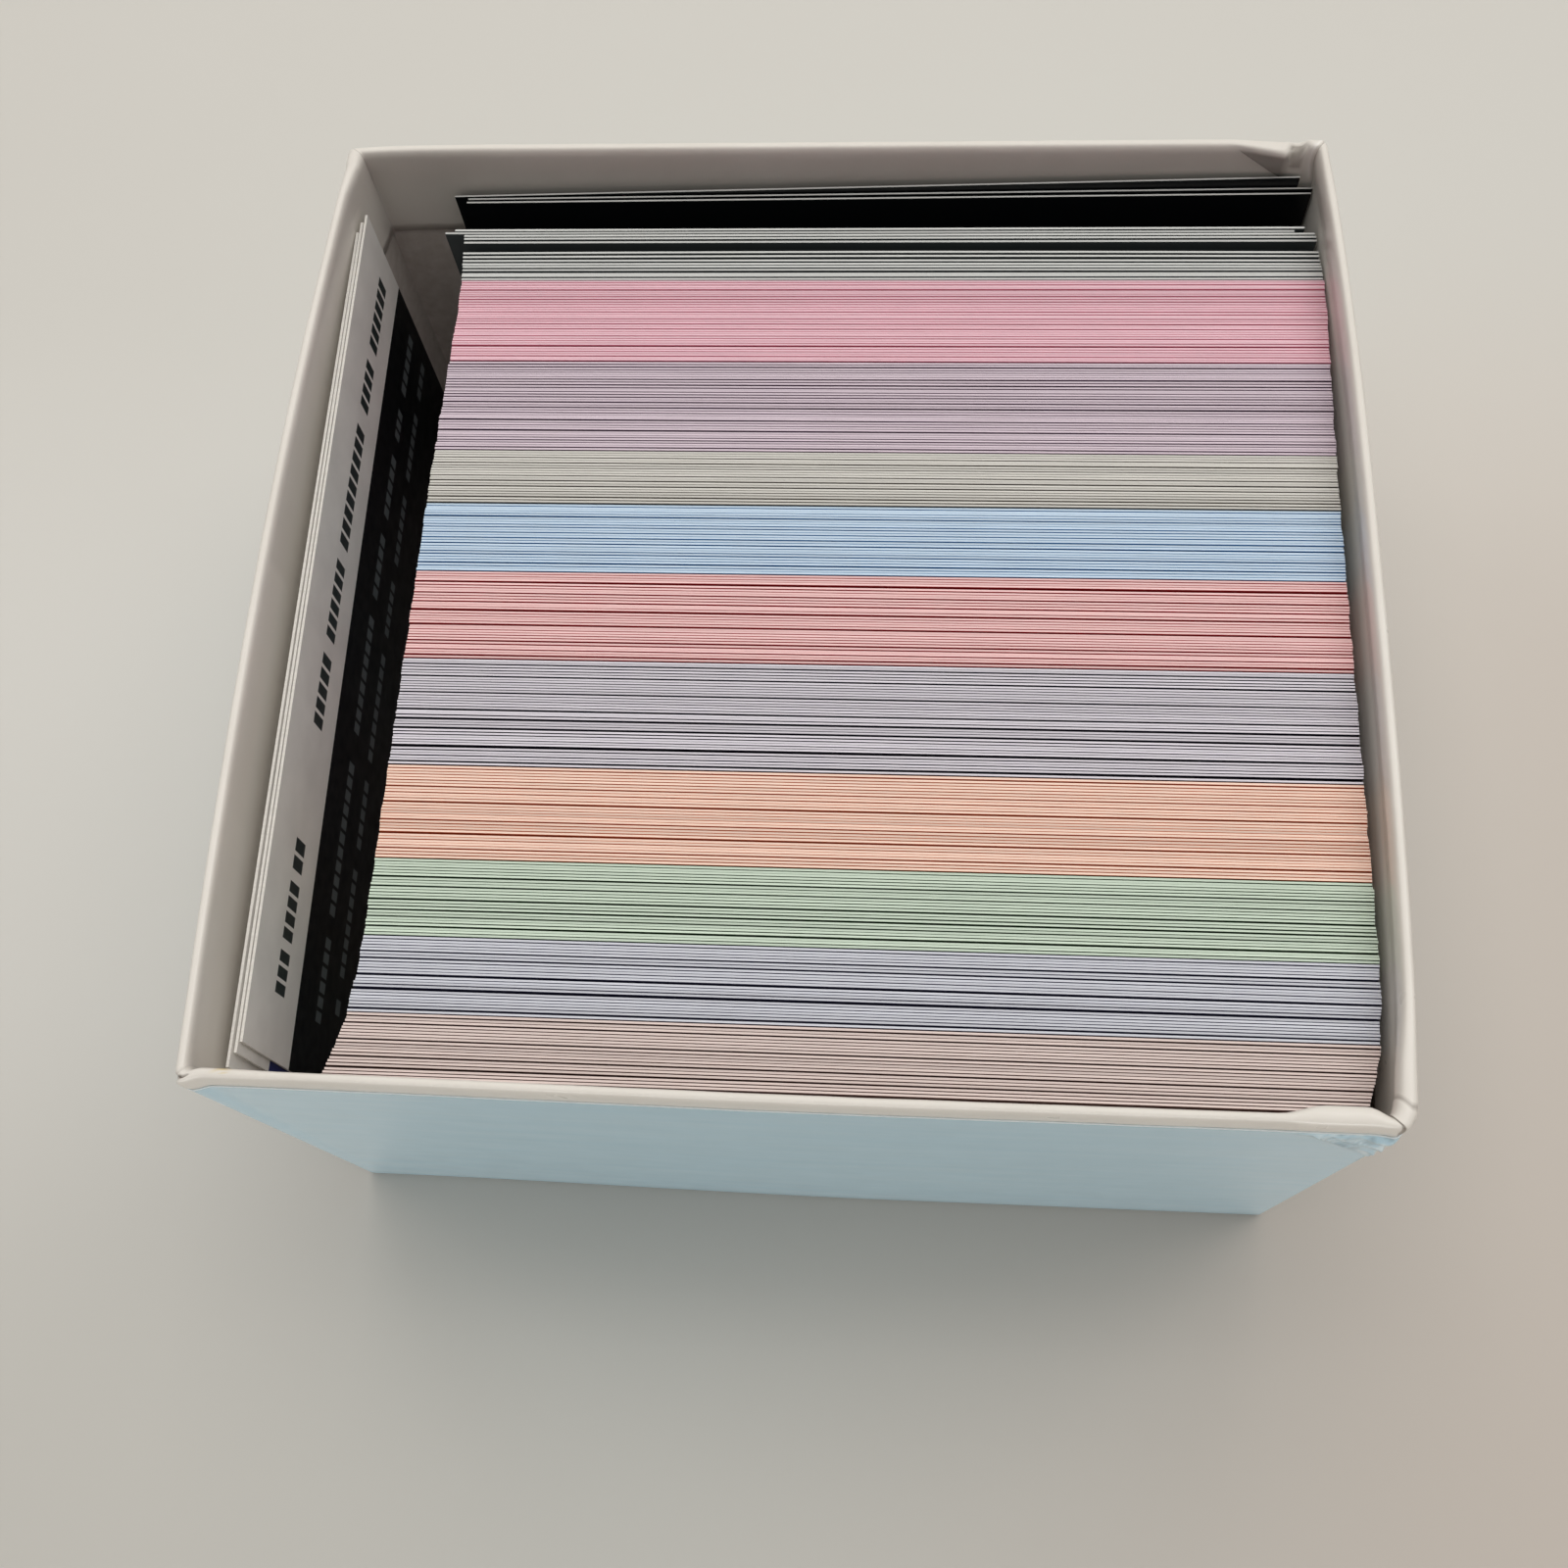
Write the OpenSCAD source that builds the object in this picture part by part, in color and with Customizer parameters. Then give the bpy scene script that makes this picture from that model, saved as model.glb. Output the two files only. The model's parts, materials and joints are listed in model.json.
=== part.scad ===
// Boxed flash card set: an open paper-covered board tray, full of cards with coloured edges.
// The cards stand on their long edges in colour groups, one behind the other. A finger channel
// runs along the left wall, where three cards stand crosswise, and a narrow gap is left at the back.
// Lengths are in millimetres. The origin is at the centre of the underside, +Z is up,
// +X runs along the cards to the right and the front wall is on the -Y side.

/* [Cards] */
// Long edge of a card
card_w = 88.9; // [60:0.1:130]
// Short edge of a card, its height as it stands
card_h = 50.8; // [35:0.1:90]
// Thickness of a card
card_t = 0.28; // [0.2:0.01:0.5]
// Air between neighbouring cards of a packed group
card_gap = 0.025; // [0.01:0.005:0.08]
// Air between neighbouring cards of the loose grey group
loose_gap = 0.22; // [0.05:0.01:0.5]
// Air between two neighbouring groups
group_gap = 0.05; // [0.02:0.01:0.3]
// Sideways scatter of the cards, to either side
card_jog = 0.15; // [0:0.01:0.4]
// How far the front group has slipped to the left at its front card
front_slip = 1.9; // [0:0.1:4]
// Air under the cards' bottom edges
seat_gap = 0.02; // [0.01:0.01:0.2]

/* [Cards in each group, from the front] */
// Rose group
rose_count = 19; // [2:1:60]
// Periwinkle group
periwinkle_count = 23; // [2:1:60]
// Green group
green_count = 24; // [2:1:60]
// Orange group
orange_count = 30; // [2:1:60]
// Lavender group
lavender_count = 36; // [2:1:60]
// Red group
red_count = 31; // [2:1:60]
// Blue group
blue_count = 25; // [2:1:60]
// Sage group
sage_count = 20; // [2:1:60]
// Mauve group
mauve_count = 35; // [2:1:60]
// Pink group
pink_count = 33; // [2:1:60]
// Loose grey group at the back
grey_count = 14; // [2:1:40]

/* [Side cards] */
// Air between the left wall and the first side card
side_clear = 0.2; // [0.1:0.05:1]
// Air between neighbouring side cards
side_gap = 0.1; // [0.05:0.05:0.5]
// How much further back each side card stands than the one to its left
side_step = 1.1; // [0:0.1:3]
// Air between the front wall and the first side card
side_front_clear = 0.8; // [0.3:0.1:3]
// Least air between the last side card and the back wall
side_back_clear = 0.5; // [0.3:0.1:3]

/* [Rear cards] */
// Free gap between the loose grey group and the rear pair
rear_gap = 3.6; // [2:0.1:10]
// Air between the two cards of the rear pair
pair_gap = 0.2; // [0.05:0.05:0.5]
// Air between the rear pair and the single rear card
rear_split = 0.1; // [0.05:0.05:0.5]
// Air between the single rear card and the back wall
rear_clear = 0.12; // [0.05:0.01:0.5]
// How much further left the single rear card stands than the deck
rear_shift = 1.5; // [0:0.1:3]

/* [Tray] */
// Width of the finger channel between the side cards and the deck
channel_w = 9.2; // [5:0.1:25]
// Air between the deck and the right wall
right_clear = 0.1; // [0.05:0.05:1]
// Air between the deck and the front wall
front_clear = 0.3; // [0.1:0.05:1]
// Height of the rim above the cards' top edges
headroom = 5.7; // [4.5:0.01:15]
// Thickness of the board
board_t = 0.9; // [0.8:0.1:3]
// Thickness of the white cover paper
cover_t = 0.15; // [0.1:0.05:0.4]
// Thickness of the blue wrap paper
wrap_t = 0.15; // [0.1:0.05:0.4]
// Height of the white edge that shows above the blue wrap
rim_reveal = 3; // [1:0.5:15]
// Depth of the white cover's turn-in inside the rim
turn_in = 12; // [8:1:30]
// Width of the two papers' hems under the base
hem_w = 12; // [5:1:25]
// Length of each leg of the corner stays
stay_w = 12; // [5:1:25]
// Thickness of the corner stays
stay_t = 0.15; // [0.1:0.05:0.3]
// Thickness of the base paper
base_paper_t = 0.15; // [0.1:0.05:0.4]
// How far the base paper stays back from the edge of the base
base_paper_inset = 1.5; // [0.5:0.5:5]

/* [Hidden] */

// Order of the packed groups, from the front
ROSE = 0;
PERIWINKLE = 1;
GREEN = 2;
ORANGE = 3;
LAVENDER = 4;
RED = 5;
BLUE = 6;
SAGE = 7;
MAUVE = 8;
PINK = 9;
counts = [rose_count, periwinkle_count, green_count, orange_count, lavender_count,
    red_count, blue_count, sage_count, mauve_count, pink_count];

// Turn of the scatter from one card to the next, so that neighbours never line up
jog_turn = 137.5;
side_card_count = 3;

// Depth that a row of cards takes up, and where each packed group starts behind the deck's front
function row_depth(count, gap) = count * card_t + (count - 1) * gap;
function group_start(k) = k == 0 ? 0 : group_start(k - 1) + row_depth(counts[k - 1], card_gap) + group_gap;
function jog(i) = card_jog * sin(i * jog_turn);

// Depths of the contents
packed_depth = group_start(PINK) + row_depth(pink_count, card_gap);
grey_depth = row_depth(grey_count, loose_gap);
pair_depth = row_depth(2, pair_gap);
rear_depth = pair_depth + rear_split + card_t + rear_clear;
deck_need = front_clear + packed_depth + group_gap + grey_depth + rear_gap + rear_depth;
side_need = side_front_clear + (side_card_count - 1) * side_step + card_w + side_back_clear;

// Clear inside of the tray between the turned-in papers
side_depth = side_clear + side_card_count * card_t + (side_card_count - 1) * side_gap;
inner_w = side_depth + channel_w + card_w + 2 * card_jog + right_clear;
inner_d = max(deck_need, side_need);

// Outlines of the board ring, the white cover and the blue wrap
board_in = [inner_w + 2 * cover_t, inner_d + 2 * cover_t];
board_out = [board_in.x + 2 * board_t, board_in.y + 2 * board_t];
cover_out = [board_out.x + 2 * cover_t, board_out.y + 2 * cover_t];
box = [cover_out.x + 2 * wrap_t, cover_out.y + 2 * wrap_t];

// Heights
wrap_z = base_paper_t;
cover_z = wrap_z + wrap_t;
board_z = cover_z + cover_t;
floor_z = board_z + board_t;
card_z = floor_z + seat_gap;
box_h = card_z + card_h + headroom;
board_h = box_h - cover_t - board_z;

// Places of the contents
left_x = -inner_w / 2;
front_y = -inner_d / 2;
back_y = inner_d / 2;
deck_x = left_x + side_depth + channel_w + card_jog;
deck_y = front_y + front_clear;
grey_y = deck_y + packed_depth + group_gap;
rear_card_y = back_y - rear_clear - card_t;
rear_pair_y = rear_card_y - rear_split - pair_depth;

// Colours
white_paper = [0.87, 0.85, 0.82];
blue_paper = [0.62, 0.78, 0.87];
grey_board = [0.62, 0.58, 0.53];
kraft_tape = [0.78, 0.70, 0.58];
dark_card = [0.10, 0.11, 0.13];

module outline(size) {
    square([size.x, size.y], center = true);
}

// A flat band of paper between two rectangular outlines
module band(outer, inner, z, h) {
    translate([0, 0, z])
        linear_extrude(h)
            difference() {
                outline(outer);
                outline(inner);
            }
}

// Four L-shaped corners of a thin ring, flush with the outside of the boards
module stay_outline() {
    intersection() {
        difference() {
            outline(board_out);
            outline([board_out.x - 2 * stay_t, board_out.y - 2 * stay_t]);
        }
        for (sx = [-1, 1], sy = [-1, 1])
            translate([sx * (board_out.x - stay_w) / 2, sy * (board_out.y - stay_w) / 2])
                square(stay_w, center = true);
    }
}

// An upright wall board with its outer corners pressed in for the stays
module wall_board(place, size) {
    translate([0, 0, board_z])
        linear_extrude(board_h)
            difference() {
                translate(place)
                    outline(size);
                stay_outline();
            }
}

// A row of upright cards; slip moves the front card to the left and fades out over the row
module card_row(count, y, gap, slip = 0) {
    for (i = [0 : count - 1])
        translate([deck_x + jog(i) - slip * (1 - i / (count - 1)), y + i * (card_t + gap), card_z])
            cube([card_w, card_t, card_h]);
}

module packed_group(k, slip = 0) {
    card_row(counts[k], deck_y + group_start(k), card_gap, slip);
}

// A card along the left wall, counted from the wall
module side_card(i) {
    translate([left_x + side_clear + i * (card_t + side_gap), front_y + side_front_clear + i * side_step, card_z])
        cube([card_t, card_w, card_h]);
}

module base_paper() {
    color(blue_paper)
        linear_extrude(base_paper_t)
            outline([box.x - 2 * base_paper_inset, box.y - 2 * base_paper_inset]);
}

module base_board() {
    color(grey_board)
        translate([0, 0, board_z])
            linear_extrude(board_t)
                outline(board_in);
}

module front_wall_board() {
    color(grey_board)
        wall_board([0, -(board_in.y + board_t) / 2], [board_out.x, board_t]);
}

module back_wall_board() {
    color(grey_board)
        wall_board([0, (board_in.y + board_t) / 2], [board_out.x, board_t]);
}

module left_wall_board() {
    color(grey_board)
        wall_board([-(board_in.x + board_t) / 2, 0], [board_t, board_in.y]);
}

module right_wall_board() {
    color(grey_board)
        wall_board([(board_in.x + board_t) / 2, 0], [board_t, board_in.y]);
}

module corner_stays() {
    color(kraft_tape)
        translate([0, 0, board_z])
            linear_extrude(board_h)
                stay_outline();
}

module white_cover() {
    color(white_paper) {
        band(cover_out, [board_out.x - 2 * hem_w, board_out.y - 2 * hem_w], cover_z, cover_t);
        band(cover_out, board_out, cover_z, box_h - cover_z);
        band(cover_out, [inner_w, inner_d], box_h - cover_t, cover_t);
        band(board_in, [inner_w, inner_d], box_h - turn_in, turn_in);
    }
}

module blue_wrap() {
    color(blue_paper) {
        band(box, [cover_out.x - 2 * hem_w, cover_out.y - 2 * hem_w], wrap_z, wrap_t);
        band(box, cover_out, wrap_z, box_h - rim_reveal - wrap_z);
    }
}

module rose_cards() {
    color([0.80, 0.68, 0.67])
        packed_group(ROSE, front_slip);
}

module periwinkle_cards() {
    color([0.70, 0.72, 0.84])
        packed_group(PERIWINKLE);
}

module green_cards() {
    color([0.66, 0.80, 0.68])
        packed_group(GREEN);
}

module orange_cards() {
    color([0.90, 0.72, 0.58])
        packed_group(ORANGE);
}

module lavender_cards() {
    color([0.72, 0.70, 0.80])
        packed_group(LAVENDER);
}

module red_cards() {
    color([0.88, 0.58, 0.60])
        packed_group(RED);
}

module blue_cards() {
    color([0.62, 0.76, 0.90])
        packed_group(BLUE);
}

module sage_cards() {
    color([0.74, 0.74, 0.70])
        packed_group(SAGE);
}

module mauve_cards() {
    color([0.75, 0.66, 0.76])
        packed_group(MAUVE);
}

module pink_cards() {
    color([0.86, 0.60, 0.72])
        packed_group(PINK);
}

module grey_cards() {
    color([0.66, 0.67, 0.65])
        card_row(grey_count, grey_y, loose_gap);
}

module rear_pair() {
    color(dark_card)
        card_row(2, rear_pair_y, pair_gap);
}

module rear_card() {
    color(dark_card)
        translate([deck_x - rear_shift, rear_card_y, card_z])
            cube([card_w, card_t, card_h]);
}

module side_card_left() {
    color(white_paper)
        side_card(0);
}

module side_card_middle() {
    color([0.20, 0.26, 0.50])
        side_card(1);
}

module side_card_right() {
    color(dark_card)
        side_card(2);
}

base_paper();
base_board();
front_wall_board();
back_wall_board();
left_wall_board();
right_wall_board();
corner_stays();
white_cover();
blue_wrap();
rose_cards();
periwinkle_cards();
green_cards();
orange_cards();
lavender_cards();
red_cards();
blue_cards();
sage_cards();
mauve_cards();
pink_cards();
grey_cards();
rear_pair();
rear_card();
side_card_left();
side_card_middle();
side_card_right();
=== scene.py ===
"""Looks of the boxed flash card set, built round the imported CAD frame.

Lengths are in millimetres until a mesh is made. +X is to the right along the cards,
+Y is to the back of the box and +Z is up, as in the CAD model.
"""
import json
import math
import random

import bmesh
import bpy
import numpy as np
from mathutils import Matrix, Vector, noise

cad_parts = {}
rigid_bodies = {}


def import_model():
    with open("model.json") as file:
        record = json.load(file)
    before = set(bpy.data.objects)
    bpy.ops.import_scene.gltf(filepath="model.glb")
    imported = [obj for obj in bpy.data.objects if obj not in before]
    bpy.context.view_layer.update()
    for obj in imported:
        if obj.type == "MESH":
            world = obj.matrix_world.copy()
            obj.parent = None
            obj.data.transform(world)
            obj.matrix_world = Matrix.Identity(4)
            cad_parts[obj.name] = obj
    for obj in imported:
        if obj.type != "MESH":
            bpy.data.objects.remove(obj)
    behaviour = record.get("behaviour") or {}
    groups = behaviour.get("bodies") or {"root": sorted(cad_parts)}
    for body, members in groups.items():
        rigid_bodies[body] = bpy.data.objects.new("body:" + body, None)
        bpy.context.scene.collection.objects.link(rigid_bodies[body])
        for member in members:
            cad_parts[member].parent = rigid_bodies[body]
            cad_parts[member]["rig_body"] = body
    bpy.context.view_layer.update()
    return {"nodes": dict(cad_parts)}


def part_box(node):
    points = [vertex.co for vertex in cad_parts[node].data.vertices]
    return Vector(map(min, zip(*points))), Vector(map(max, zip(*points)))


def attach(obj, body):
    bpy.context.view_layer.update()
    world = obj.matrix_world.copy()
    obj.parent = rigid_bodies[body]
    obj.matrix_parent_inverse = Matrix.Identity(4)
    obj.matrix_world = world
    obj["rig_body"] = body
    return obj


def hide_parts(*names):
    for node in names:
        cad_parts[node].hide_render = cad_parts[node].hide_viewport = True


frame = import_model()

MM = 0.001


def box_mm(node):
    """Lowest and highest corner of a CAD node, in millimetres."""
    lo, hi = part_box(node)
    return np.array(lo) / MM, np.array(hi) / MM


# Measures of the tray, from the frame
wrap_lo, wrap_hi = box_mm("blue_wrap")
cover_lo, cover_hi = box_mm("white_cover")
floor_lo, floor_hi = box_mm("base_board")
HALF_W, HALF_D = wrap_hi[0], wrap_hi[1]
RIM_Z = cover_hi[2]
PAPER = wrap_hi[0] - cover_hi[0]
BOARD_OUT = 2 * PAPER
BOARD_IN = HALF_W - floor_hi[0]
LINING = BOARD_IN + PAPER

# Other measures of the tray
TURN_IN = 12
HEM = 12
STAY = 12
FLOOR_FADE = 6
CORNER_R = 0.9
LEAST_R = 0.3
RIM_OUTSIDE = 1.35
RIM_INSIDE = 1.7
RIM_OUTER_POWER = 2.6
RIM_INNER_POWER = 3.0
RIM_STEPS = 25

# Bend of the tray: walls bellied outwards, each corner drawn in or out on its own
BELLY_SIDE = 1.2
RIGHT_POWER = 2.8
LEFT_POWER = 1.9
CORNER_POWER = 12
BACK_RIGHT_IN = 0.3
BACK_LEFT_IN = 0.6
BASE_SHARE_X = 0.9
BASE_CORNER_RIGHT = 1.1
BASE_CORNER_LEFT = -0.35
FRONT_PUSH = 0.57
FRONT_TURN = 0.46
TURN_FROM_X = 10
FRONT_LEAN = 0.5
LEFT_LEAN = 0.25
NOSE_LEFT = 0.45
NOSE_RIGHT = 0.2
NOSE_X = (48.6, 50.4)
BACK_PUSH = 0.42
BASE_SHARE_BACK = 0.3
CORNER_CUT = 0.75
CORNER_CUT_Y = (-46.8, -49.4)

# Uneven thickness of the walls, and where each change fades in
SIDE_THIN = 0.05
RIGHT_THIN = 0.5
RIGHT_THIN_Z = (53, 56.5)
RIGHT_SWELL = 0.6
RIGHT_SWELL_Y = (-38, -47)
RIGHT_SWELL_Z = (54, 56.5)
BACK_LEFT_THICK = 0.5
BACK_LEFT_Y = (42, 48)
FRONT_THIN = 0.27
FRONT_THIN_Z = 44
FRONT_SWELL = 0.55
FRONT_SWELL_X = (44, 47.5, 3)

# Crushed rim beside the back right corner: a creased lip that leans inwards, then a notch
CREASE_X = 42.3
CREASE_Z = 57.2
CREASE_SLANT = 1.25
LIP_SLOPE = 0.21
LIP_MOST = 0.95
LIP_END_X = (46.8, 47.6)
NOTCH_DEPTH = 1.3
NOTCH_X = (47.5, 48.6, 0.4)
NOTCH_Z = (54.5, 57)

# Waves of ripple() and steps between the seeds of bumps()
WAVES = (1.0, 0.61, 0.37)
SEED_STEPS = (7.3, 3.1, 5.7)


def smooth_step(start, end, t):
    """0 before start, 1 after end and a smooth rise between them."""
    s = np.clip((t - start) / (end - start), 0, 1)
    return s * s * (3 - 2 * s)


def window(start, end, fade, t):
    """1 between start and end, with soft sides."""
    return smooth_step(start - fade, start, t) * (1 - smooth_step(end, end + fade, t))


def line_at(place, half, t):
    """1 on a line across t, fading out at half its width."""
    return np.exp(-((t - place) / half) ** 2)


def ripple(t, size, seed):
    """Smooth waves between about -1 and 1 along t, with features of the given size."""
    rng = random.Random(seed)
    total = 0
    for k in WAVES:
        total = total + k * np.sin(2 * math.pi * t / (size * k * 2) + rng.uniform(0, 2 * math.pi))
    return total / sum(WAVES)


def bumps(points, size, seed):
    """Smooth noise at points, with features of the given size."""
    shift = Vector([seed * step for step in SEED_STEPS])
    return np.array([noise.noise(Vector(p) / size + shift) for p in points])


def wall_share(place, half):
    """How far a point is through a wall: 0 outside and 1 inside, fading out on the floor."""
    far = np.abs(place)
    return np.clip((half - far) / LINING, 0, 1) * smooth_step(half - FLOOR_FADE, half - LINING, far)


def crease_at(x, z):
    """How far a point is past the slanting crease of the crushed rim, which starts at the rim."""
    return x - CREASE_X - CREASE_SLANT * (CREASE_Z - z)


def side_push(x, y, level):
    """How far the left and right walls are pushed outwards."""
    right, back = x > 0, y > 0
    far = np.minimum(np.abs(y) / HALF_D, 1)
    bend = far ** np.where(right, RIGHT_POWER, LEFT_POWER)
    corner_in = np.where(right, BACK_RIGHT_IN, BACK_LEFT_IN) * back
    base_in = np.where(right, BASE_CORNER_RIGHT, BASE_CORNER_LEFT) * ~back
    push = BELLY_SIDE * (BASE_SHARE_X + (1 - BASE_SHARE_X) * level) * (1 - bend) - corner_in * bend
    return push - base_in * far ** CORNER_POWER * (1 - level)


def front_lean(x, level):
    """How far the front wall leans inwards towards its foot."""
    return (FRONT_LEAN + LEFT_LEAN * smooth_step(TURN_FROM_X, -HALF_W, x)) * (1 - level)


def end_push(x, y, level):
    """How far the front and back walls are pushed outwards."""
    far = np.minimum(np.abs(x) / HALF_W, 1)
    front = FRONT_PUSH - FRONT_TURN * smooth_step(TURN_FROM_X, -HALF_W, x) - front_lean(x, level)
    noses = NOSE_LEFT * smooth_step(*NOSE_X, -x) + NOSE_RIGHT * smooth_step(*NOSE_X, x)
    back = BACK_PUSH * (1 - far ** CORNER_POWER) * (BASE_SHARE_BACK + (1 - BASE_SHARE_BACK) * level)
    return np.where(y > 0, back, front + noses * level)


def side_thinning(x, y, z):
    """How much thinner the left and right walls are than in the CAD."""
    right = x > 0
    thin = SIDE_THIN + RIGHT_THIN * right * (1 - smooth_step(*RIGHT_THIN_Z, z))
    thin -= RIGHT_SWELL * right * smooth_step(*RIGHT_SWELL_Y, y) * smooth_step(*RIGHT_SWELL_Z, z)
    return thin - BACK_LEFT_THICK * ~right * smooth_step(*BACK_LEFT_Y, y)


def front_thinning(x, z):
    """The same for the top of the front wall, which swells near its right end."""
    return (FRONT_THIN - FRONT_SWELL * window(*FRONT_SWELL_X, x)) * smooth_step(FRONT_THIN_Z, RIM_Z, z)


def tray_shape(points):
    """Bends points of the straight tray into the worn one."""
    p = np.array(points, float)
    x, y, z = p.T
    level = np.clip(z / RIM_Z, 0, 1)
    inner_x, inner_y = wall_share(x, HALF_W), wall_share(y, HALF_D)
    inner_front, inner_back = inner_y * (y < 0), inner_y * (y > 0)
    out = p.copy()
    out[:, 0] += x / HALF_W * side_push(x, y, level) + np.sign(x) * side_thinning(x, y, z) * inner_x
    out[:, 0] -= CORNER_CUT * (x > 0) * smooth_step(*CORNER_CUT_Y, y) * level
    # The front wall leans outside only, and its inner face stays upright beside the cards
    out[:, 1] += y / HALF_D * end_push(x, y, level) - front_lean(x, level) * inner_front
    out[:, 1] -= front_thinning(x, z) * inner_front
    lip = np.clip(LIP_SLOPE * crease_at(x, z), 0, LIP_MOST) * (1 - smooth_step(*LIP_END_X, x))
    out[:, 1] -= lip * inner_back
    out[:, 2] -= NOTCH_DEPTH * window(*NOTCH_X, x) * inner_back * smooth_step(*NOTCH_Z, z)
    return out


# Meshes

def add_object(name, data):
    """A new object in the scene."""
    obj = bpy.data.objects.new(name, data)
    bpy.context.scene.collection.objects.link(obj)
    return obj


def make_piece(name, verts, faces, materials, slots=None, attributes=None, smooth=False):
    """A mesh object from points in millimetres, with its faces turned outwards."""
    mesh = bpy.data.meshes.new(name)
    mesh.from_pydata((np.asarray(verts, float) * MM).tolist(), [], faces)
    for material in materials:
        mesh.materials.append(material)
    if slots is not None:
        mesh.polygons.foreach_set("material_index", slots)
    mesh.polygons.foreach_set("use_smooth", [smooth] * len(faces))
    for key, values in (attributes or {}).items():
        layer = mesh.attributes.new(key, "FLOAT", "POINT")
        layer.data.foreach_set("value", np.asarray(values, np.float32))
    shell = bmesh.new()
    shell.from_mesh(mesh)
    bmesh.ops.recalc_face_normals(shell, faces=shell.faces)
    shell.to_mesh(mesh)
    shell.free()
    return add_object(name, mesh)


def stand_for(obj, node):
    """The piece takes the place of a CAD node and rides on its body."""
    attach(obj, frame["nodes"][node]["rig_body"])
    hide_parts(node)
    return obj


def tube(rings):
    """Points and faces through rings of points, and each face's strip, which is -1 at the ends."""
    count, size = rings.shape[:2]
    faces = []
    strips = []
    for s in range(count - 1):
        for k in range(size):
            a, b = s * size + k, s * size + (k + 1) % size
            faces.append((a, b, b + size, a + size))
            strips.append(k)
    faces.append(tuple(range(size)))
    faces.append(tuple(range((count - 1) * size, count * size)))
    strips += [-1, -1]
    return rings.reshape(-1, 3), faces, strips


# Plan outline of the tray, counter-clockwise from the back right corner

ARC_STEPS = 16
SIDE_STEPS = 120
EVEN_SHARE = 0.3
CORNERS = ((1, 1, 0), (-1, 1, 90), (-1, -1, 180), (1, -1, 270))
BACK_RIGHT, BACK_LEFT, FRONT_LEFT, FRONT_RIGHT = range(4)
side_share = (np.arange(SIDE_STEPS) + 0.5) / SIDE_STEPS
side_share = EVEN_SHARE * side_share + (1 - EVEN_SHARE) * (0.5 - 0.5 * np.cos(math.pi * side_share))


def outline(inset):
    """The rounded plan outline at an inset from the outside of the box."""
    r = max(CORNER_R - inset, LEAST_R)
    centre_x, centre_y = HALF_W - inset - r, HALF_D - inset - r
    ends = []
    for sx, sy, start in CORNERS:
        angles = np.radians(start + np.linspace(0, 90, ARC_STEPS + 1))
        arc_x, arc_y = sx * centre_x + r * np.cos(angles), sy * centre_y + r * np.sin(angles)
        ends.append(np.column_stack([arc_x, arc_y]))
    points = []
    for arc, following in zip(ends, ends[1:] + ends[:1]):
        points.append(arc)
        points.append(arc[-1] + np.outer(side_share, following[0] - arc[-1]))
    return np.concatenate(points)


def columns():
    """Nearest corner of each outline point, and the way along the wall from that corner's middle."""
    corner, along = [], []
    half_arc = CORNER_R * math.pi / 4
    sides = (2 * HALF_W, 2 * HALF_D, 2 * HALF_W, 2 * HALF_D)
    for k, side in enumerate(sides):
        for a in np.linspace(-half_arc, half_arc, ARC_STEPS + 1):
            corner.append(k)
            along.append(a)
        for share in side_share:
            far = share > 0.5
            corner.append((k + 1) % 4 if far else k)
            along.append(-half_arc - (1 - share) * side if far else half_arc + share * side)
    return np.array(corner), np.array(along)


column_corner, column_along = columns()


def loft(profile):
    """Closed ring of paper: the profile's (inset, z) points swept round the tray."""
    rows = [np.column_stack([outline(i), np.full(len(column_along), z)]) for i, z in profile]
    size = len(column_along)
    faces = []
    for r in range(len(rows)):
        here, there = r * size, (r + 1) % len(rows) * size
        for c in range(size):
            d = (c + 1) % size
            faces.append((here + c, here + d, there + d, there + c))
    return np.concatenate(rows), faces


def plate(inset, low, high):
    """Flat sheet with the tray's rounded outline."""
    flat = outline(inset)
    rings = np.array([np.column_stack([flat, np.full(len(flat), z)]) for z in (low, high)])
    verts, faces, _ = tube(rings)
    return verts, faces


# Materials

# Parts of a noise's range that are stretched over a paint's range
NOISE_MIDDLE = (0.3, 0.7)
NOISE_WIDE = (0.1, 0.9)


def linear(red, green, blue):
    """Linear colour of an sRGB paint given from 0 to 255."""
    parts = [c / 255 for c in (red, green, blue)]
    return [c / 12.92 if c <= 0.04045 else ((c + 0.055) / 1.055) ** 2.4 for c in parts]


def shaded(paint, share):
    """Linear colour of an sRGB paint, times a share."""
    return [c * share for c in linear(*paint)]


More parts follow.
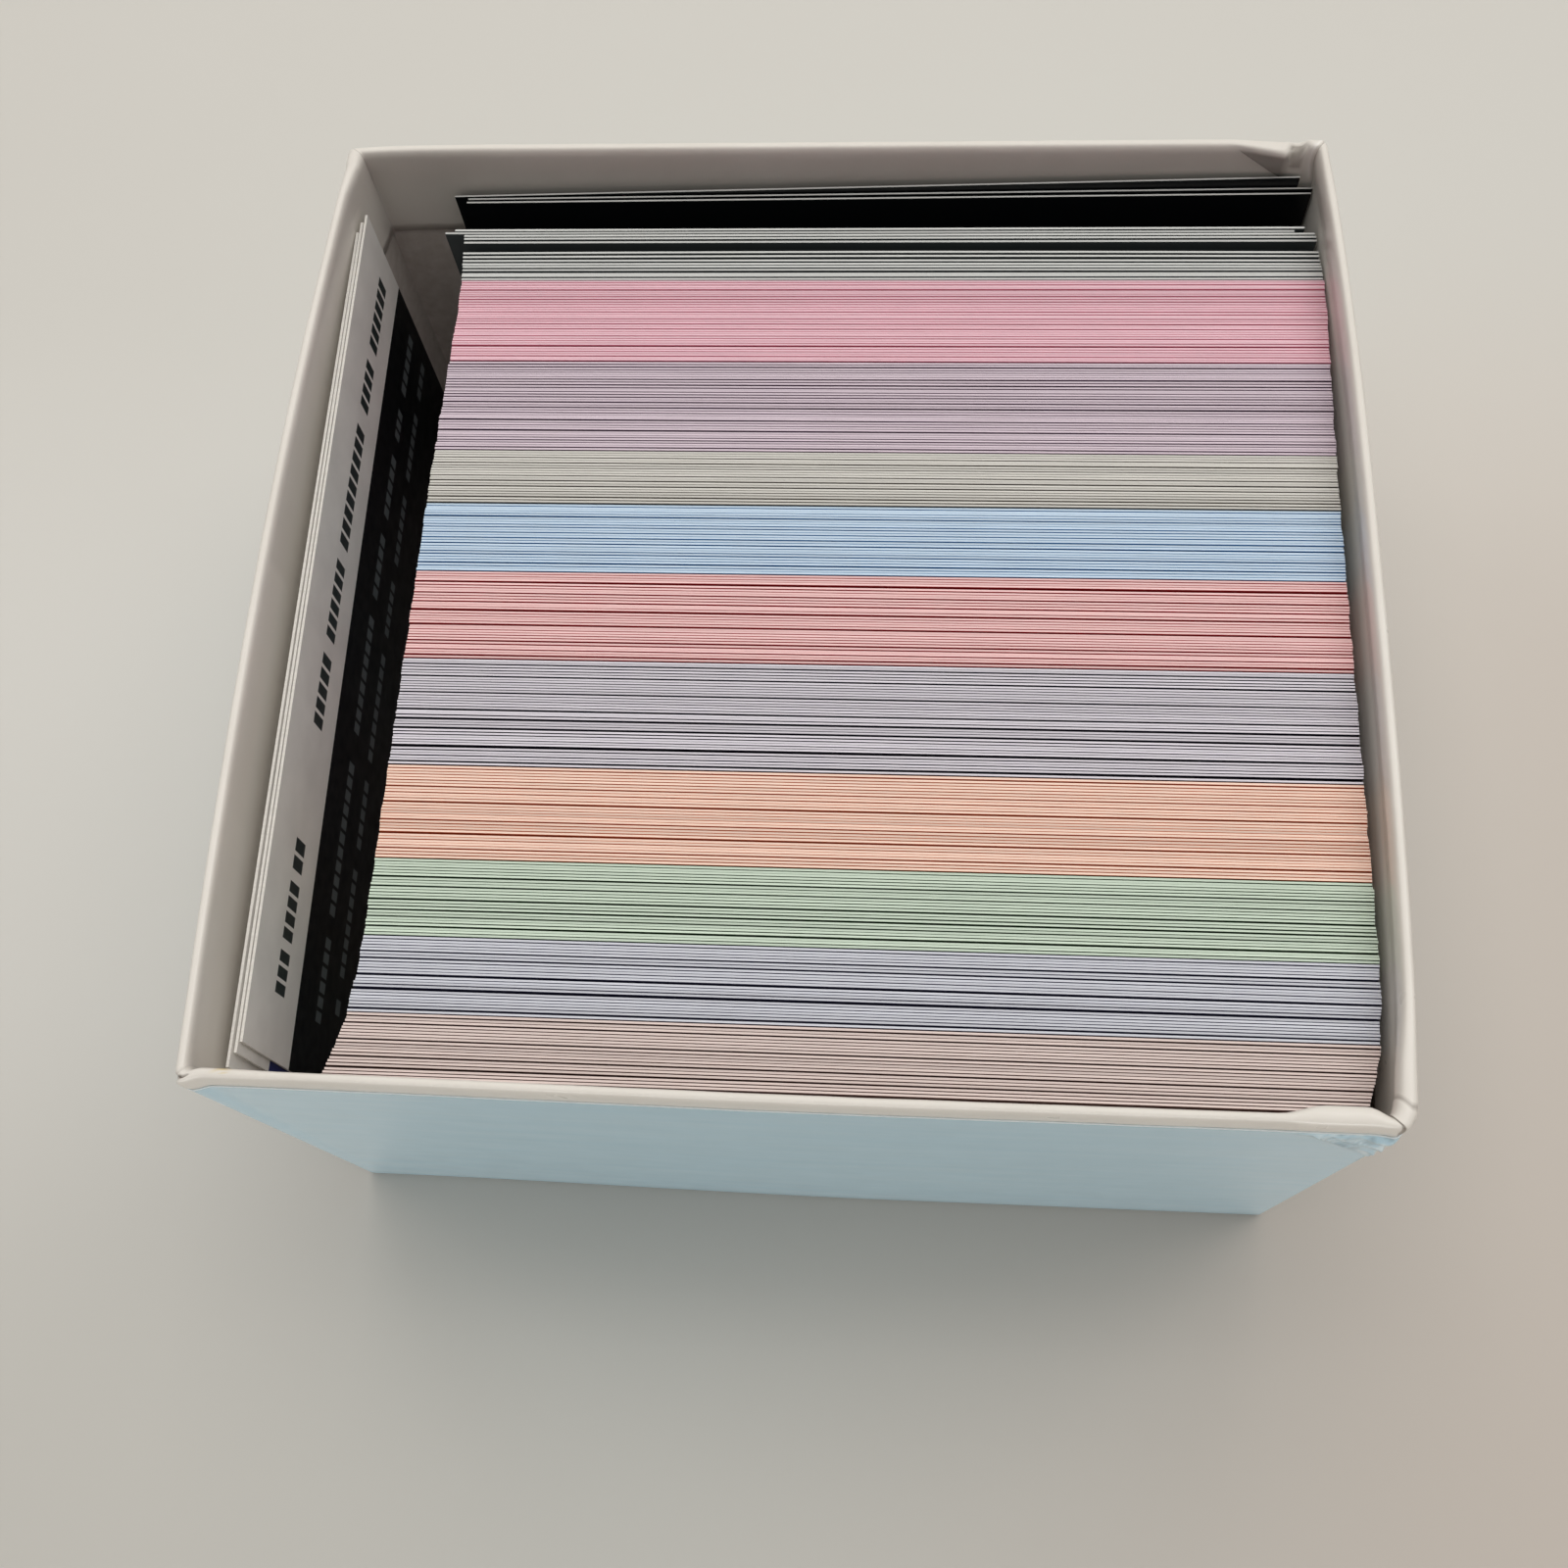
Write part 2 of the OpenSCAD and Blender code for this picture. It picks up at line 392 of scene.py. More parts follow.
class Paint:
    """Builds one material's node tree with short calls. Sizes are in millimetres."""

    def __init__(self, name):
        self.material = bpy.data.materials.new(name)
        self.material.use_nodes = True
        self.tree = self.material.node_tree
        self.shader = self.tree.nodes["Principled BSDF"]
        self.place = self.add("ShaderNodeTexCoord").outputs["Object"]

    def add(self, kind, **settings):
        node = self.tree.nodes.new(kind)
        for key, value in settings.items():
            setattr(node, key, value)
        return node

    def feed(self, socket, value):
        """Links a value's socket to an input, or sets a constant on it."""
        if isinstance(value, bpy.types.NodeSocket):
            self.tree.links.new(value, socket)
        elif isinstance(value, (list, tuple)) and len(socket.default_value) == 4:
            socket.default_value = (*value, 1)
        else:
            socket.default_value = value

    def math(self, operation, a, b=0.0):
        node = self.add("ShaderNodeMath", operation=operation)
        self.feed(node.inputs[0], a)
        self.feed(node.inputs[1], b)
        return node.outputs[0]

    def span(self, value, low, high, to_low=0.0, to_high=1.0, kind="LINEAR"):
        """Maps low..high to a new range, clamped."""
        node = self.add("ShaderNodeMapRange", clamp=True, interpolation_type=kind)
        for socket, v in zip(node.inputs, (value, low, high, to_low, to_high)):
            self.feed(socket, v)
        return node.outputs[0]

    def spread(self, value, to_low=0.0, to_high=1.0, part=NOISE_MIDDLE):
        """Maps a part of a noise's range to a new range, clamped."""
        return self.span(value, *part, to_low, to_high)

    def ease(self, value, low, high):
        """Smooth rise from 0 at low to 1 at high."""
        return self.span(value, low, high, kind="SMOOTHSTEP")

    def near(self, value, centre, half):
        """1 where a place in metres is within half of a centre, both in millimetres."""
        off = self.math("ABSOLUTE", self.math("SUBTRACT", value, centre * MM))
        return self.math("LESS_THAN", off, half * MM)

    def mix(self, share, a, b, blend="MIX"):
        """Colour a, with a share of colour b over it."""
        node = self.add("ShaderNodeMix", data_type="RGBA", blend_type=blend)
        self.feed(node.inputs["Factor"], share)
        self.feed(node.inputs[6], a)
        self.feed(node.inputs[7], b)
        return node.outputs[2]

    def scaled(self, x, y, z):
        """Object coordinates divided by a size along each axis."""
        node = self.add("ShaderNodeVectorMath", operation="MULTIPLY")
        self.feed(node.inputs[0], self.place)
        node.inputs[1].default_value = (1 / (x * MM), 1 / (y * MM), 1 / (z * MM))
        return node.outputs[0]

    def noise(self, x, y=None, z=None):
        """Noise with features of the given size."""
        node = self.add("ShaderNodeTexNoise")
        self.feed(node.inputs["Vector"], self.scaled(x, y or x, z or x))
        node.inputs["Scale"].default_value = 1
        node.inputs["Detail"].default_value = 3.0
        return node.outputs["Fac"]

    def attribute(self, name):
        """A value that the mesh carries at its points."""
        return self.add("ShaderNodeAttribute", attribute_name=name).outputs["Fac"]

    def axes(self):
        """The object's own x, y and z, in metres."""
        node = self.add("ShaderNodeSeparateXYZ")
        self.feed(node.inputs[0], self.place)
        return node.outputs

    def bump(self, height, depth, below=None):
        """Relief of a given depth, on top of another relief if one is given."""
        node = self.add("ShaderNodeBump")
        node.inputs["Strength"].default_value = 1.0
        node.inputs["Distance"].default_value = depth * MM
        self.feed(node.inputs["Height"], height)
        if below is not None:
            self.feed(node.inputs["Normal"], below)
        return node.outputs["Normal"]

    def finish(self, colour, rough, normal=None, gloss=0.5):
        self.feed(self.shader.inputs["Base Color"], colour)
        self.feed(self.shader.inputs["Roughness"], rough)
        self.shader.inputs["Specular IOR Level"].default_value = gloss
        if normal is not None:
            self.feed(self.shader.inputs["Normal"], normal)
        return self.material


def white_paper():
    """Satin-coated white paper with faint mottling, dirt in the folds, yellowed spots, painted shade in
    the slit, the notch, the corner gaps, the crushed panel and on the inner back wall, and a painted
    highlight at the torn corner.
    """
    p = Paint("white_paper")
    mottle = p.spread(p.noise(9), part=NOISE_WIDE)
    colour = p.mix(mottle, linear(221, 215, 206), linear(230, 225, 217))
    # Darker with dirt in the folds, and with painted shade in the slit, the notch, the back corner gaps
    # and on the inner back wall
    colour = p.mix(p.attribute("grime_and_shade"), colour, linear(120, 110, 100))
    colour = p.mix(p.attribute("stain"), colour, linear(214, 190, 128))
    # Painted shade on the panel past the crease under the crushed lip, and a darker painted line of shade
    # along the crease
    past, panel = p.attribute("crease"), p.attribute("panel")
    lip_shade = p.math("MULTIPLY", p.span(past, 0, 0.15, 0, 0.5), panel)
    line = p.math("MULTIPLY", p.span(p.math("ABSOLUTE", past), 0.2, 0.05, 0, 0.7), panel)
    colour = p.mix(p.math("MAXIMUM", lip_shade, line), colour, linear(100, 92, 84))
    # Painted highlight on the torn paper beside the back right corner
    colour = p.mix(p.attribute("tear_highlight"), colour, linear(244, 240, 234))
    fibre = p.bump(p.noise(0.4), 0.0012)
    normal = p.bump(p.noise(7), 0.02, fibre)
    rough = p.spread(p.noise(5), 0.26, 0.32, NOISE_WIDE)
    return p.finish(colour, rough, normal)


def blue_paper():
    """Light blue coated paper with level streaks, pale scuffs that are partly painted highlights on the
    crumpled folds, and a few dark marks, with painted shade in the crumple's crevices.
    """
    p = Paint("blue_paper")
    streak = p.spread(p.noise(26, 26, 2.6))
    colour = p.mix(streak, linear(182, 214, 229), linear(189, 218, 231))
    # Paler where scuffed, which is partly wear and partly painted highlight on the crumpled folds
    colour = p.mix(p.attribute("scuff_and_glint"), colour, linear(216, 236, 244))
    # Darker at a real mark on the front left corner, and with painted shade in the crumple's crevices
    colour = p.mix(p.attribute("mark_and_crease_shade"), colour, linear(96, 108, 116))
    fibre = p.bump(p.noise(0.5), 0.0012)
    normal = p.bump(p.noise(16, 16, 3), 0.01, fibre)
    rough = p.spread(p.noise(4), 0.15, 0.19)
    return p.finish(colour, rough, normal, 0.6)


def paper_core():
    """White cut edge of the blue paper."""
    p = Paint("paper_core")
    colour = p.mix(p.noise(0.6), linear(240, 245, 246), linear(222, 234, 238))
    return p.finish(colour, 0.8)


def lined_board():
    """Board with a pale lining, a little rough and grey."""
    p = Paint("lined_board")
    colour = p.mix(p.spread(p.noise(1.2)), linear(196, 188, 180), linear(210, 203, 196))
    return p.finish(colour, 0.7, p.bump(p.noise(0.5), 0.03))


def kraft_tape():
    """Brown paper tape with upright fibres."""
    p = Paint("kraft_tape")
    colour = p.mix(p.noise(0.4, 0.4, 3), linear(188, 160, 122), linear(206, 182, 146))
    return p.finish(colour, 0.75, p.bump(p.noise(0.4), 0.03))


def card_edge(name, paint):
    """Cut edge of a card: pale board, streaked along the cut, with a tone of each card's own."""
    p = Paint(name + "_edge")
    streak = p.spread(p.noise(9, 0.16, 0.3))
    colour = p.mix(streak, shaded(paint, 0.86), linear(*paint))
    colour = p.mix(p.attribute("tone"), colour, shaded(paint, 0.7))
    return p.finish(colour, 0.75, p.bump(p.noise(2.0, 0.06, 0.06), 0.02), 0.3)


# Card faces: a header band, and a block of five bars by four rows
HEADER_H = 12
BAR_LENGTH = 13.0
BAR_PITCH = 5.4
BAR_GAP = 1.5
BARS_X, BARS_HALF_W = BAR_LENGTH / 2, 2.5 * BAR_LENGTH
BARS_Z, BARS_HALF_H = 4 * BAR_PITCH, 2 * BAR_PITCH
BAR_PAINT = (196, 200, 202)
BAR_STRENGTH = 0.75


def face_bars(p, x, z):
    """1 on the generic bars of a card's face and 0 beside them."""
    flat = p.add("ShaderNodeCombineXYZ")
    p.feed(flat.inputs[0], x)
    p.feed(flat.inputs[1], z)
    rows = p.add("ShaderNodeTexBrick", offset=0.5, squash=1.0)
    p.feed(rows.inputs["Vector"], flat.outputs[0])
    sizes = {"Scale": 1 / MM, "Mortar Size": BAR_GAP, "Brick Width": BAR_LENGTH, "Row Height": BAR_PITCH}
    for key, value in sizes.items():
        rows.inputs[key].default_value = value
    inside = p.math("MULTIPLY", p.near(x, BARS_X, BARS_HALF_W), p.near(z, BARS_Z, BARS_HALF_H))
    return p.math("MULTIPLY", inside, p.math("SUBTRACT", 1.0, rows.outputs["Fac"]))


def card_face(name, ink, field):
    """Printed face: an ink header band over a plain field with generic bars."""
    p = Paint(name + "_face")
    x, _, z = p.axes()
    header = p.math("GREATER_THAN", z, (card_top - HEADER_H) * MM)
    colour = p.mix(p.noise(14), linear(*field), shaded(field, 1.25))
    bars = p.math("MULTIPLY", face_bars(p, x, z), BAR_STRENGTH)
    colour = p.mix(bars, colour, linear(*BAR_PAINT))
    band = p.mix(p.spread(p.noise(3)), shaded(ink, 0.9), linear(*ink))
    colour = p.mix(header, colour, band)
    rough = p.spread(p.noise(1.5), 0.3, 0.4)
    return p.finish(colour, rough, p.bump(p.noise(0.5), 0.006), 0.3)


def flat_print(name, paint, rough=0.36, gloss=0.5):
    """Evenly printed coated card."""
    p = Paint(name)
    colour = p.mix(p.spread(p.noise(5)), shaded(paint, 0.88), linear(*paint))
    worn = p.spread(p.noise(1.5), rough - 0.04, rough + 0.06)
    return p.finish(colour, worn, p.bump(p.noise(0.5), 0.002), gloss)


# Painted light and shade of the table top, and the places in metres over which they fade in: painted
# shade towards the front, warmer painted shade at the front right, and painted light on the left
FRONT_SHADE_Y = (0.06, -0.12)
WARM_SHADE_TINT = [0.98, 0.91, 0.88]
WARM_SHADE_X = (-0.03, 0.09)
WARM_SHADE_Y = (0.1, 0.01)
PAINTED_LIGHT_TINT = [1.09, 1.09, 1.1]
PAINTED_LIGHT_X = (-0.02, -0.06)
PAINTED_LIGHT_FRONT_Y = (-0.08, -0.025)
PAINTED_LIGHT_BACK_Y = (0.08, 0.01)


def studio_floor():
    """Pale matt table top, with painted shade towards the front, warmer painted shade at the front right
    and painted light on the left.
    """
    p = Paint("studio_floor")
    x, y, _ = p.axes()
    # Painted shade: darker towards the front
    colour = p.mix(p.span(y, *FRONT_SHADE_Y), linear(212, 209, 202), linear(192, 189, 182))
    colour = p.mix(p.spread(p.noise(60), 0, 0.25, NOISE_WIDE), colour, linear(205, 200, 192))
    # Painted shade, warmer and darker, at the front right
    warm_shade = p.math("MULTIPLY", p.ease(x, *WARM_SHADE_X), p.ease(y, *WARM_SHADE_Y))
    colour = p.mix(warm_shade, colour, WARM_SHADE_TINT, "MULTIPLY")
    # Painted light: paler on the table top left of the box
    pale = p.math("MULTIPLY", p.ease(x, *PAINTED_LIGHT_X), p.ease(y, *PAINTED_LIGHT_FRONT_Y))
    pale = p.math("MULTIPLY", pale, p.ease(y, *PAINTED_LIGHT_BACK_Y))
    colour = p.mix(pale, colour, PAINTED_LIGHT_TINT, "MULTIPLY")
    return p.finish(colour, 0.6, p.bump(p.noise(3), 0.01), 0.3)


# White cover

# Rounded foot of the papers, as (inset, height) from the outside and from the underside
FOOT = ((0.75, 0), (0.42, 0.05), (0.2, 0.18), (0.05, 0.42), (0, 0.75))
# Heights of the cover's rows of points; only the high ones are on its inside too
LOW_ROWS = [3, 12, 25, 38, 45]
HIGH_ROWS = list(np.arange(47, 56.3, 0.4))
ROW_AIR = 0.1

# Folded corners, as ways along the wall from the middle of the corner, with the layers' heights
FOLD_HEIGHT = 0.1
MITRE_RIGHT = -0.2
BUTT_RIGHT = 2.0
FOLDS = ((FRONT_RIGHT, MITRE_RIGHT, BUTT_RIGHT), (BACK_LEFT, 0.2, 2.4), (BACK_RIGHT, 0.2, 2.6))
ROLL_RIGHT = (-8, -2.5, 2.5)
ROLL_HEIGHT = 0.2
TUCK_LEFT = -0.95
TUCK_FADE = (1, 9)
TUCK_HEIGHT = 0.12
OUTER_FOLD_Z = (54.9, 55.6)
INNER_FOLD_Z = (46, 50)
SIDE_BAND = 3

# Uneven rim, the slit beside the front left corner and a stain, as places in the tray
RIM_TOP_Z = (56, 57.3)
RIM_BUMP = 0.03
RIM_BUMP_SIZE = 3.5
SLIT_Y = -48.8
SLIT_END_X = -49.7
SLIT_Z = (56.3, 57)
SLIT_TIP = 0.1
SLIT_LENGTH = 1.4
SLIT_HALF = 0.36
SLIT_LEAST = 0.1
SLIT_DEPTH = 0.5
STAIN_X = -46.9
STAIN_HALF = 0.6
STAIN_INSET = 0.7
STAIN_STRENGTH = 0.8
STAIN_SIZE = 0.6
STAIN_PATCH = (-0.3, 0.1)

# Wear and painted light of the cover: half widths, strengths and places of lines and patches. The back
# corner lines, the hole and the panel get painted shade, and the tear streak gets a painted highlight
BACK_HALF, BACK_GAP_SHADE = 0.09, 0.5
MITRE_HALF = 0.13
BUTT_HALF, BUTT_GRIME = 0.12, 0.7
TUCK_HALF, TUCK_GRIME = 0.12, 0.7
TEAR_HIGHLIGHT_ALONG, TEAR_HIGHLIGHT_HALF = 0.9, 0.2
TEAR_HIGHLIGHT_Z = (52, 55)
GRIME_AND_SHADE_Z = (50, 55)
PANEL_END_X = (46.8, 47.4)
PANEL_TOP_Z = (56.8, 57.4)
PANEL_SHADE = 0.12
HOLE_X = (47.6, 48.6, 0.3)
HOLE_Z = (54.5, 56)
HOLE_SHADE = 0.5


def rim_points(depth):
    """The cover's curve over a wall's top, from its outside to its inside, as (inset, z)."""
    centre, half = (PAPER + LINING) / 2, (LINING - PAPER) / 2 - depth
    points = []
    for angle in np.linspace(0, math.pi, RIM_STEPS):
        outer = angle < math.pi / 2
        height, power = (RIM_OUTSIDE, RIM_OUTER_POWER) if outer else (RIM_INSIDE, RIM_INNER_POWER)
        side = abs(math.cos(angle)) ** (2 / power) * half
        up = math.sin(angle) ** (2 / power) * (height - depth)
        points.append((centre - side if outer else centre + side, RIM_Z - height + up))
    return points


def cover_profile(depth):
    """The white cover's path, (inset, z), at a depth below its outer skin."""
    low = cover_lo[2] + depth
    outer, inner = PAPER + depth, LINING - depth
    path = [(PAPER + HEM, low)] + [(outer + i, low + z) for i, z in FOOT]
    path += [(outer, z) for z in LOW_ROWS + HIGH_ROWS]
    path += rim_points(depth)
    path += [(inner, z) for z in reversed(HIGH_ROWS) if z < RIM_Z - RIM_INSIDE - ROW_AIR]
    path += [(inner, RIM_Z - TURN_IN)]
    return path


def profile_normals(path):
    """Outward normals of an open (inset, z) path, in the same plane."""
    path = np.array(path)
    step = np.gradient(path, axis=0)
    normal = np.column_stack([-step[:, 1], step[:, 0]])
    return normal / np.linalg.norm(normal, axis=1)[:, None]


def fold_lift(corner, start, end, height):
    """Height of a folded paper layer over a stretch of wall beside a corner."""
    here = column_corner == corner
    return np.where(here & (column_along > start) & (column_along < end), height, 0.0)


def cover_folds():
    """How far the folded corners lift the white cover at each outline point."""
    lift = sum(fold_lift(*fold, FOLD_HEIGHT) for fold in FOLDS)
    nose = fold_lift(FRONT_LEFT, TUCK_LEFT, TUCK_FADE[1], TUCK_HEIGHT)
    nose *= 1 - smooth_step(*TUCK_FADE, column_along)
    roll = ROLL_HEIGHT * window(*ROLL_RIGHT, column_along) * (column_corner == FRONT_RIGHT)
    return lift + nose + roll


def slit_at(x, y, z):
    """1 in the slit of the rim, which tapers to its inner end, and 0 beside it."""
    half = SLIT_HALF * np.clip((SLIT_END_X - x) / SLIT_LENGTH, SLIT_LEAST, 1)
    return line_at(SLIT_Y, half, y) * (x < SLIT_END_X + SLIT_TIP) * smooth_step(*SLIT_Z, z)


def fold_grime_and_gap_shade(along, corner):
    """Dark lines where the cover's folded layers end, as dirt, and painted shade along the gaps of the
    back corners.
    """
    at_back = (corner == BACK_LEFT) | (corner == BACK_RIGHT)
    grime_and_shade = BACK_GAP_SHADE * line_at(0, BACK_HALF, along) * at_back
    mitre = line_at(MITRE_RIGHT, MITRE_HALF, along) + BUTT_GRIME * line_at(BUTT_RIGHT, BUTT_HALF, along)
    grime_and_shade += mitre * (corner == FRONT_RIGHT)
    return grime_and_shade + TUCK_GRIME * line_at(TUCK_LEFT, TUCK_HALF, along) * (corner == FRONT_LEFT)


def white_cover(paper):
    """The white cover with its folded corners, and the dirt, stains, painted shade and painted highlight
    that its paint shows.
    """
    skin, back = cover_profile(0), cover_profile(PAPER)
    profile = skin + back[::-1]
    flat, faces = loft(profile)
    rows, size = len(profile), len(column_along)
    inset = np.repeat([i for i, _ in profile], size)
    outside = inset < (PAPER + LINING) / 2
    x, y, z = flat.T
    slit = slit_at(x, y, z)
    lift = np.where(outside, smooth_step(*OUTER_FOLD_Z, z), smooth_step(*INNER_FOLD_Z, z))
    lift *= np.tile(cover_folds(), rows)
    lift += RIM_BUMP * smooth_step(*RIM_TOP_Z, z) * bumps(flat, RIM_BUMP_SIZE, seed=3)
    lift -= SLIT_DEPTH * slit
    normals = profile_normals(skin)
    normals = np.repeat(np.concatenate([normals, normals[::-1]]), size, axis=0)
    outward = np.sign(flat[:, :2]) * (np.abs(flat[:, :2]) > np.array([HALF_W, HALF_D]) - SIDE_BAND)
    verts = flat.copy()
    verts[:, :2] -= outward * (normals[:, 0] * lift)[:, None]
    verts[:, 2] += normals[:, 1] * lift
    shaped = tray_shape(verts)

    along, corner = np.tile(column_along, rows), np.tile(column_corner, rows)
    inner_back = (y > 0) * ~outside
    # Painted highlight: a pale streak on the torn paper of the back right corner
    tear_highlight = line_at(TEAR_HIGHLIGHT_ALONG, TEAR_HIGHLIGHT_HALF, along) * (corner == BACK_RIGHT) * smooth_step(*TEAR_HIGHLIGHT_Z, z)
    # Painted shade: the panel on the inner back wall, the notch's hole, the slit and the back corner
    # lines
    panel = (1 - smooth_step(*PANEL_END_X, x)) * (1 - smooth_step(*PANEL_TOP_Z, z)) * inner_back
    hole = window(*HOLE_X, x) * smooth_step(*HOLE_Z, z) * inner_back
    grime_and_shade = fold_grime_and_gap_shade(along, corner) + slit + HOLE_SHADE * hole + PANEL_SHADE * panel
    grime_and_shade = smooth_step(*GRIME_AND_SHADE_Z, z) * np.clip(grime_and_shade, 0, 1)
    spot = line_at(STAIN_X, STAIN_HALF, shaped[:, 0]) * (shaped[:, 1] < 0) * (inset > STAIN_INSET)
    spot *= smooth_step(*RIM_TOP_Z, z)
    stain = STAIN_STRENGTH * spot * smooth_step(*STAIN_PATCH, bumps(verts, STAIN_SIZE, seed=8))
    wear_and_painted_light = {"grime_and_shade": grime_and_shade, "stain": stain, "panel": panel, "crease": crease_at(x, z), "tear_highlight": tear_highlight}
    obj = make_piece("white_cover_paper", shaped, faces, [paper], None, wear_and_painted_light, smooth=True)
    return stand_for(obj, "white_cover")


# Blue wrap

WRAP_ROWS = [3, 12, 25, 38, *np.arange(44.7, 54.7, 0.3)]
# Upper edge: a slight flare, waves as (height, size, seed), and a sag at the front right
EDGE_DROP = 0.1
EDGE_FLARE = -0.03
EDGE_STEP = 0.02
EDGE_Z = (51, 55)
EDGE_TURN = 1.7
EDGE_WAVES = ((0.07, 9, 5), (0.03, 2.3, 6))
SAG = 0.2
SAG_ALONG = (-8, 0, 4)

# Crumpled paper below the front right corner, above a slanting line
CRUMPLE_SPAN = (-7.5, 1, 1)
CRUMPLE_ALONG, CRUMPLE_Z = -6.3, 53.2
CRUMPLE_SLOPE = 1.5
CRUMPLE_LIMITS = (45, 54)
CRUMPLE_BELOW, CRUMPLE_ABOVE = 0.4, 0.8
CRUMPLE_TOP_Z = (53.9, 54.7)
CRUMPLE_LEAST, CRUMPLE_MORE = 0.12, 0.4
CRUMPLE_RAISE = 0.2
CRUMPLE_RIGHT = 0.3
WRAP_BAND = 2
FOLD_WIDTH, FOLD_LENGTH = 1.8, 6
FOLD_SIZE = 0.9
STREAK_SIZE = 0.6
# Pale scuffs on the crumple are partly wear and partly painted highlight; its crevices get painted shade
SCUFF_AND_GLINT_RANGE = (0.05, 0.3)
CREVICE_SHADE_RANGE = (0.2, 0.4)
CREVICE_SHADE = 0.35

# Dark mark on the front left corner
MARK_ALONG, MARK_HALF_W = -0.2, 0.5
MARK_Z, MARK_HALF_H = 36, 0.8
MARK_STRENGTH = 0.7


def wrap_profile():
    """The blue wrap's outer and inner path, as (inset, z)."""
    top, low = wrap_hi[2], wrap_lo[2]
    skin = [(HEM, low)] + [(i, low + z) for i, z in FOOT] + [(0, z) for z in WRAP_ROWS]
    skin += [(EDGE_FLARE, top - EDGE_DROP), (0.0, top)]
    back = [(HEM, low + PAPER)] + [(PAPER + i, low + PAPER + z) for i, z in FOOT]
    back += [(PAPER, z) for z in WRAP_ROWS]
    back += [(PAPER, top - EDGE_DROP), (PAPER, top - EDGE_STEP)]
    return skin, back


def crumple_at(along, z, at_corner):
    """1 in the crumpled paper, above its slanting lower edge, and 0 elsewhere."""
    low = np.clip(CRUMPLE_Z - CRUMPLE_SLOPE * (along - CRUMPLE_ALONG), *CRUMPLE_LIMITS)
    rise = smooth_step(low - CRUMPLE_BELOW, low + CRUMPLE_ABOVE, z)
    return window(*CRUMPLE_SPAN, along) * at_corner * rise


def blue_wrap(paper, core):
    """The blue wrap with its wavy upper edge, crumpled corner, scuffs and marks, and painted highlights
    and shade on the crumple's folds.
    """
    skin, back = wrap_profile()
    flat, faces = loft(skin + back[::-1])
    rows, size = len(skin) + len(back), len(column_along)
    along, corner = np.tile(column_along, rows), np.tile(column_corner, rows)
    x, y, z = flat.T
    at_corner = corner == FRONT_RIGHT
    crumple = crumple_at(along, z, at_corner)
    across, down = CRUMPLE_SLOPE * along + z, along - CRUMPLE_SLOPE * z
    slant = np.column_stack([across / FOLD_WIDTH, y * 0, down / FOLD_LENGTH])
    folds = np.clip(CRUMPLE_RAISE + bumps(slant, FOLD_SIZE, seed=11), 0, 1)
    outward = crumple * (CRUMPLE_LEAST + CRUMPLE_MORE * folds) * (1 - smooth_step(*CRUMPLE_TOP_Z, z))
    wavy = sum(height * ripple(x + EDGE_TURN * y, length, seed) for height, length, seed in EDGE_WAVES)
    sag = SAG * window(*SAG_ALONG, along) * at_corner
    verts = flat.copy()
    verts[:, 0] += CRUMPLE_RIGHT * outward * (x > HALF_W - WRAP_BAND)
    verts[:, 1] -= outward * (y < -HALF_D + WRAP_BAND)
    verts[:, 2] += smooth_step(*EDGE_Z, z) * (wavy - sag)

    streaks = bumps(slant, STREAK_SIZE, seed=21)
    # Painted highlight on the raised streaks of the crumple, partly real scuffs
    scuff_and_glint = crumple * smooth_step(*SCUFF_AND_GLINT_RANGE, streaks)
    off = ((along - MARK_ALONG) / MARK_HALF_W) ** 2 + ((z - MARK_Z) / MARK_HALF_H) ** 2
    mark_and_crease_shade = MARK_STRENGTH * np.exp(-off) * (corner == FRONT_LEFT)
    # Painted shade in the crevices of the crumple, added to the real mark
    mark_and_crease_shade += CREVICE_SHADE * crumple * smooth_step(*CREVICE_SHADE_RANGE, -streaks)
    edge_row = len(skin) - 1
    slots = np.repeat([1 if edge_row - 1 <= r <= edge_row else 0 for r in range(rows)], size)
    wear_and_painted_light = {"scuff_and_glint": scuff_and_glint, "mark_and_crease_shade": mark_and_crease_shade}
    obj = make_piece("blue_wrap_paper", tray_shape(verts), faces, [paper, core], slots, wear_and_painted_light, smooth=True)
    return stand_for(obj, "blue_wrap")


# Boards and tapes

BOARD_DROP = 1.5
BOARD_TOP = RIM_Z - BOARD_DROP
BOARD_LEVELS = (20, 36, 44, 47, 49, 51, 52, 53, 54, 55)
BOARD_ROUND = 0.35
BOARD_STATIONS = 80
BASE_AIR = 0.02
TAPE_AIR = 0.01
TAPE_DROP = 0.4


def wall_board(name, board, axis):
    """A wall board along x (axis 0) or y (axis 1), kept under the crushed rim."""
    lo, hi = box_mm(name)
    across = 1 - axis
    front, back = lo[across], hi[across]
    front, back = (front + PAPER, back) if back < 0 else (front, back - PAPER)
    end_gap = PAPER if axis == 0 else 0
    levels = [lo[2], *BOARD_LEVELS, BOARD_TOP - BOARD_ROUND]
    section = [(back, z) for z in levels]
    section += [(back - BOARD_ROUND, BOARD_TOP), (front + BOARD_ROUND, BOARD_TOP)]
    section += [(front, z) for z in reversed(levels)]
    rings = []
    for t in np.linspace(lo[axis] + end_gap, hi[axis] - end_gap, BOARD_STATIONS):
        ring = np.zeros((len(section), 3))
        ring[:, axis] = t
        ring[:, across] = [s[0] for s in section]
        ring[:, 2] = [s[1] for s in section]
        rings.append(ring)
    verts, faces, _ = tube(np.array(rings))
    obj = make_piece(name + "_panel", tray_shape(verts), faces, [board])
    return stand_for(obj, name)


